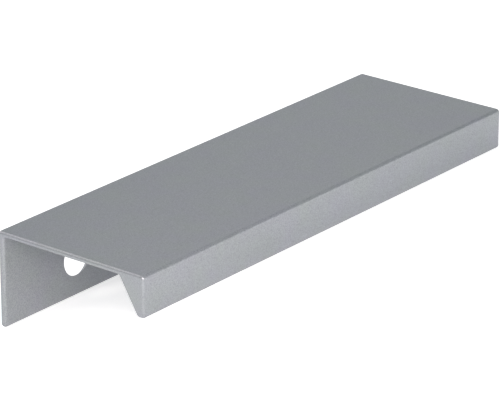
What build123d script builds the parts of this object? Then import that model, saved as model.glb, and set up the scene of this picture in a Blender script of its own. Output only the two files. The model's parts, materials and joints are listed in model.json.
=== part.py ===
# Finger pull profile: one extruded length of aluminium with a flat plate, a rear flange
# that is screwed behind a cabinet door or drawer front, and a wedge-shaped lip at the front.
#
# Millimetres, +Z up. The profile lies as it rests unheld on a level floor, on the lip's tip
# and on the lower edge of the flange. +X runs along the profile and +Y points to its back.
# The origin is the middle of the underside of its overall box.

import os
from math import asin, atan2, cos, radians, sin, tan

from build123d import *

# Overall sizes of the section, square to its plate
profile_length = 150.0
plate_depth = 47.25
flange_height = 26.0
lip_height = 11.2

# Walls and the wedge of the lip
plate_thickness = 1.6
flange_thickness = 1.8
lip_root_depth = 8.0
lip_tip_depth = 2.2

# Most of a wall that one of its rounded edges takes, so that a flat stays between two of them
wall_share = 0.45

# Rounded edges along the profile
front_top_radius = 1.0
back_top_radius = 0.9
lip_front_radius = 0.8
lip_inner_radius = 1.0
lip_root_radius = 1.2
flange_root_radius = 0.8
flange_edge_radius = min(0.8, wall_share * flange_thickness)

# Rounding of the sawn ends, always a little tighter than the flange's edge that it runs round
end_to_edge_ratio = 0.92
end_radius = min(0.72, wall_share * plate_thickness, end_to_edge_ratio * flange_edge_radius)

# Screw holes in the flange, their centres below the top face of the plate, countersunk from
# the back. The narrow straight land that is left lies at the flange's front face.
hole_spacing = 96.0
hole_drop = 15.65
hole_diameter = 9.6
hole_land = 0.3
countersink_angle = 90.0
countersink_spread = (flange_thickness - hole_land) * tan(radians(countersink_angle / 2))


def section_corners():
    """Corners of the section as (distance behind the front, height over the top face, radius)."""
    flange_inside = plate_depth - flange_thickness
    return [
        (0, 0, front_top_radius),
        (plate_depth, 0, back_top_radius),
        (plate_depth, -flange_height, flange_edge_radius),
        (flange_inside, -flange_height, flange_edge_radius),
        (flange_inside, -plate_thickness, flange_root_radius),
        (lip_root_depth, -plate_thickness, lip_root_radius),
        (lip_tip_depth, -lip_height, lip_inner_radius),
        (0, -lip_height, lip_front_radius),
    ]


def resting_plane():
    """Plane of the middle section, tipped forward until the lip and the flange both touch the floor.

    The floor is the line that touches the round of the lip's front corner and the round
    of the flange's inner corner from below.
    """
    lip = (lip_front_radius, lip_front_radius - lip_height)
    flange = (plate_depth - flange_thickness + flange_edge_radius, flange_edge_radius - flange_height)
    run = flange[0] - lip[0]
    drop = flange[1] - lip[1]
    reach = (run**2 + drop**2) ** 0.5
    tilt = asin((flange_edge_radius - lip_front_radius) / reach) - atan2(drop, run)

    front = front_top_radius * (cos(tilt) + sin(tilt) - 1)
    back_corner = (plate_depth - flange_edge_radius, flange_edge_radius - flange_height)
    back = back_corner[0] * cos(tilt) - back_corner[1] * sin(tilt) + flange_edge_radius
    floor = lip[0] * sin(tilt) + lip[1] * cos(tilt) - lip_front_radius
    return Plane(
        origin=(0, -(front + back) / 2, -floor),
        x_dir=(0, cos(tilt), sin(tilt)),
        z_dir=(1, 0, 0),
    )


section_plane = resting_plane()

with BuildPart() as pull_profile:
    # the extruded section
    with BuildSketch(section_plane) as section:
        with BuildLine() as outline:
            corners = section_corners()
            FilletPolyline(
                *[(back, up) for back, up, _ in corners],
                radius=[corner_radius for *_, corner_radius in corners],
                close=True,
            )
        make_face()
    extrude(amount=profile_length / 2, both=True)

    # the sawn ends, with their edges rounded
    ends = pull_profile.faces().sort_by(Axis.X)
    fillet(ends[0].edges() + ends[-1].edges(), radius=end_radius)

    # countersunk screw holes through the flange, from its back face
    back_face = Plane(
        origin=section_plane.from_local_coords((plate_depth, -hole_drop)),
        x_dir=(1, 0, 0),
        z_dir=section_plane.x_dir,
    )
    with Locations(back_face):
        with GridLocations(hole_spacing, 0, 2, 1):
            CounterSinkHole(
                radius=hole_diameter / 2,
                counter_sink_radius=hole_diameter / 2 + countersink_spread,
                depth=2 * flange_thickness,
                counter_sink_angle=countersink_angle,
            )

pull_profile.part.label = "pull_profile"

os.makedirs("parts", exist_ok=True)
export_step(pull_profile.part, "parts/pull_profile.step")
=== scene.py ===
# Looks of a finger pull profile: satin anodised aluminium on a plain white floor in soft studio light.
# Metres and watts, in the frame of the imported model.

import json
from math import atan2, radians

import bpy
from mathutils import Euler, Matrix, Vector

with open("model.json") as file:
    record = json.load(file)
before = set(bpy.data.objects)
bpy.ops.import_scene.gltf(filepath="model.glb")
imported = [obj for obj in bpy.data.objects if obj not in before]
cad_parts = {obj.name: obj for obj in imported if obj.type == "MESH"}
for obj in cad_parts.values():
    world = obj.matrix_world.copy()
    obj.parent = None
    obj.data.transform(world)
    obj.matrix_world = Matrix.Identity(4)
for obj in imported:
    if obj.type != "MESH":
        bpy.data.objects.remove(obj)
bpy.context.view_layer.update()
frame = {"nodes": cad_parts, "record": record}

# The photograph's width and focal length in pixels, and its camera in the profile's own square
# frame: its corner is the near end of the top front edge, +Y points to the flange and +Z is
# square to the plate
image_width = 500
focal_length = 3342.1
camera_place = Vector((-0.55965, -0.48007, 0.31214))
camera_azimuth = radians(-51.363)
camera_elevation = radians(21.639)
sensor_width_mm = 36.0
nearest_seen = 0.01
farthest_seen = 50.0

# Anodised aluminium: its gloss and its mean colour
metal_share = 0.6
metal_colour = (0.325, 0.342, 0.363)
roughness_low = 0.32
roughness_high = 0.40

# Its fine grain, with the grain's share of the colour, and the faint drift of its hue
grain_size = 0.0003
grain_detail = 3
grain_contrast = 0.19
grain_relief = 0.03
grain_depth = 0.00002
cloud_size = 0.008
green_drift = (0.99, 1.008, 0.972)
violet_drift = (1.01, 0.992, 1.028)

# Nearly all values of a noise lie between these two
noise_low = 0.3
noise_high = 0.7

# Studio light: a slightly cool plain level from all round, and slightly warm soft boxes
world_level = 0.52
world_tint = (0.915, 0.97, 1.0)
lamp_tint = (1.0, 0.9, 0.865)
box_distance = 1.2
box_size = 0.6

# A floor that reaches far past every view, and how much brighter the camera sees it than it is lit
floor_half = 12.0
floor_colour = 0.9
floor_glow = 0.64


def square_frame():
    """Matrix from the profile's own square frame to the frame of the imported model, in which it leans."""
    mounts = {mount["name"]: mount for mount in frame["record"]["mounts"]}
    _, along, up = mounts["screw_holes"]["axis"]
    turn = Matrix.Rotation(atan2(up, along), 3, "X")
    flat = [turn.transposed() @ vertex.co for vertex in frame["nodes"]["pull_profile"].data.vertices]
    corner = Vector((min(v.x for v in flat), min(v.y for v in flat), max(v.z for v in flat)))
    return Matrix.Translation(turn @ corner) @ turn.to_4x4()


def link(piece):
    bpy.context.scene.collection.objects.link(piece)
    return piece


def make_camera(to_row):
    """The photograph's camera, level in the square frame, so that it leans with the profile."""
    data = bpy.data.cameras.new("camera")
    data.sensor_width = sensor_width_mm
    data.lens = focal_length * sensor_width_mm / image_width
    data.clip_start = nearest_seen
    data.clip_end = farthest_seen
    camera = link(bpy.data.objects.new("camera", data))
    aim = Euler((radians(90) - camera_elevation, 0, camera_azimuth)).to_matrix().to_4x4()
    camera.matrix_world = to_row @ Matrix.Translation(camera_place) @ aim
    bpy.context.scene.camera = camera


def material(name):
    """An empty material, with its nodes and links."""
    made = bpy.data.materials.new(name)
    made.use_nodes = True
    nodes = made.node_tree.nodes
    nodes.clear()
    return made, nodes, made.node_tree.links


def noise(nodes, links, place, size):
    """A noise in the profile's own coordinates, with features of about one size."""
    made = nodes.new("ShaderNodeTexNoise")
    made.inputs["Scale"].default_value = 1 / size
    links.new(place.outputs["Object"], made.inputs["Vector"])
    return made


def ramp(nodes, links, source, low, high):
    """A colour ramp over the middle of a noise, where nearly all its values lie."""
    made = nodes.new("ShaderNodeValToRGB")
    first, last = made.color_ramp.elements
    first.position = noise_low
    first.color = (*low, 1)
    last.position = noise_high
    last.color = (*high, 1)
    links.new(source.outputs["Fac"], made.inputs["Fac"])
    return made


def anodised_aluminium():
    """Fine matt silver anodising: a broad soft gloss with a fine grain in its colour and surface."""
    made, nodes, links = material("anodised_aluminium")
    output = nodes.new("ShaderNodeOutputMaterial")
    surface = nodes.new("ShaderNodeBsdfPrincipled")
    surface.inputs["Metallic"].default_value = metal_share
    links.new(surface.outputs["BSDF"], output.inputs["Surface"])

    place = nodes.new("ShaderNodeTexCoord")
    grain = noise(nodes, links, place, grain_size)
    grain.inputs["Detail"].default_value = grain_detail
    clouds = noise(nodes, links, place, cloud_size)

    # the colour: dark and light specks, times the drift from green to violet
    dark = [channel * (1 - grain_contrast) for channel in metal_colour]
    light = [channel * (1 + grain_contrast) for channel in metal_colour]
    speckle = ramp(nodes, links, grain, dark, light)
    drift = ramp(nodes, links, clouds, green_drift, violet_drift)
    colour = nodes.new("ShaderNodeMix")
    colour.data_type = "RGBA"
    colour.blend_type = "MULTIPLY"
    colour.inputs["Factor"].default_value = 1
    links.new(speckle.outputs["Color"], colour.inputs["A"])
    links.new(drift.outputs["Color"], colour.inputs["B"])
    links.new(colour.outputs["Result"], surface.inputs["Base Color"])

    # the gloss, which drifts with the hue
    roughness = nodes.new("ShaderNodeMapRange")
    roughness.inputs["To Min"].default_value = roughness_low
    roughness.inputs["To Max"].default_value = roughness_high
    links.new(clouds.outputs["Fac"], roughness.inputs["Value"])
    links.new(roughness.outputs["Result"], surface.inputs["Roughness"])

    # the relief of the grain
    bump = nodes.new("ShaderNodeBump")
    bump.inputs["Strength"].default_value = grain_relief
    bump.inputs["Distance"].default_value = grain_depth
    links.new(grain.outputs["Fac"], bump.inputs["Height"])
    links.new(bump.outputs["Normal"], surface.inputs["Normal"])
    return made


def seen_directly(nodes, links):
    """1 for camera, glossy and transmission rays, to which the floor looks white, and 0 for the rest."""
    path = nodes.new("ShaderNodeLightPath")
    total = path.outputs["Is Camera Ray"]
    for name in ("Is Glossy Ray", "Is Transmission Ray"):
        add = nodes.new("ShaderNodeMath")
        add.operation = "ADD"
        add.use_clamp = True
        links.new(total, add.inputs[0])
        links.new(path.outputs[name], add.inputs[1])
        total = add.outputs[0]
    return total


def white_floor():
    """Plain white, with a glow that only the camera and reflections see."""
    made, nodes, links = material("white_floor")
    output = nodes.new("ShaderNodeOutputMaterial")
    surface = nodes.new("ShaderNodeBsdfDiffuse")
    surface.inputs["Color"].default_value = (floor_colour, floor_colour, floor_colour, 1)
    glow = nodes.new("ShaderNodeEmission")
    strength = nodes.new("ShaderNodeMath")
    strength.operation = "MULTIPLY"
    strength.inputs[1].default_value = floor_glow
    links.new(seen_directly(nodes, links), strength.inputs[0])
    links.new(strength.outputs[0], glow.inputs["Strength"])
    both = nodes.new("ShaderNodeAddShader")
    links.new(surface.outputs[0], both.inputs[0])
    links.new(glow.outputs[0], both.inputs[1])
    links.new(both.outputs[0], output.inputs["Surface"])
    return made


def make_floor():
    mesh = bpy.data.meshes.new("floor")
    corners = [
        (-floor_half, -floor_half, 0),
        (floor_half, -floor_half, 0),
        (floor_half, floor_half, 0),
        (-floor_half, floor_half, 0),
    ]
    mesh.from_pydata(corners, [], [(0, 1, 2, 3)])
    floor = link(bpy.data.objects.new("floor", mesh))
    mesh.materials.append(white_floor())


def make_world():
    """A plain soft light from all round."""
    world = bpy.data.worlds.new("studio")
    bpy.context.scene.world = world
    world.use_nodes = True
    background = world.node_tree.nodes["Background"]
    background.inputs["Color"].default_value = (*world_tint, 1)
    background.inputs["Strength"].default_value = world_level


def soft_lamp(name, direction, power, distance=box_distance, size=box_size):
    """A square soft box that looks at the frame's origin, under the profile's middle."""
    data = bpy.data.lights.new(name, "AREA")
    data.energy = power
    data.size = size
    data.color = lamp_tint
    lamp = link(bpy.data.objects.new(name, data))
    away = Vector(direction).normalized()
    lamp.location = away * distance
    lamp.rotation_euler = away.to_track_quat("Z", "Y").to_euler()


bpy.context.scene.view_settings.view_transform = "Standard"
make_camera(square_frame())
make_world()
make_floor()
soft_lamp("key", (-0.8, -0.9, 0.32), 0.9)
soft_lamp("front_left", (-0.3, -0.95, 0.15), 0.4, size=0.3)
soft_lamp("left_behind", (-0.6, 0.45, 0.65), 1.0)
soft_lamp("back", (-0.1, 0.7, 0.7), 2.0)
soft_lamp("overhead", (-0.39, 0.26, 0.88), 0.95)
soft_lamp("right_behind", (0.8, 0.32, 0.63), 0.22)
soft_lamp("near_front", (-0.68, -0.72, 0.12), 1.15, distance=0.36, size=0.2)

profile = frame["nodes"]["pull_profile"]
profile.material_slots[0].material = anodised_aluminium()
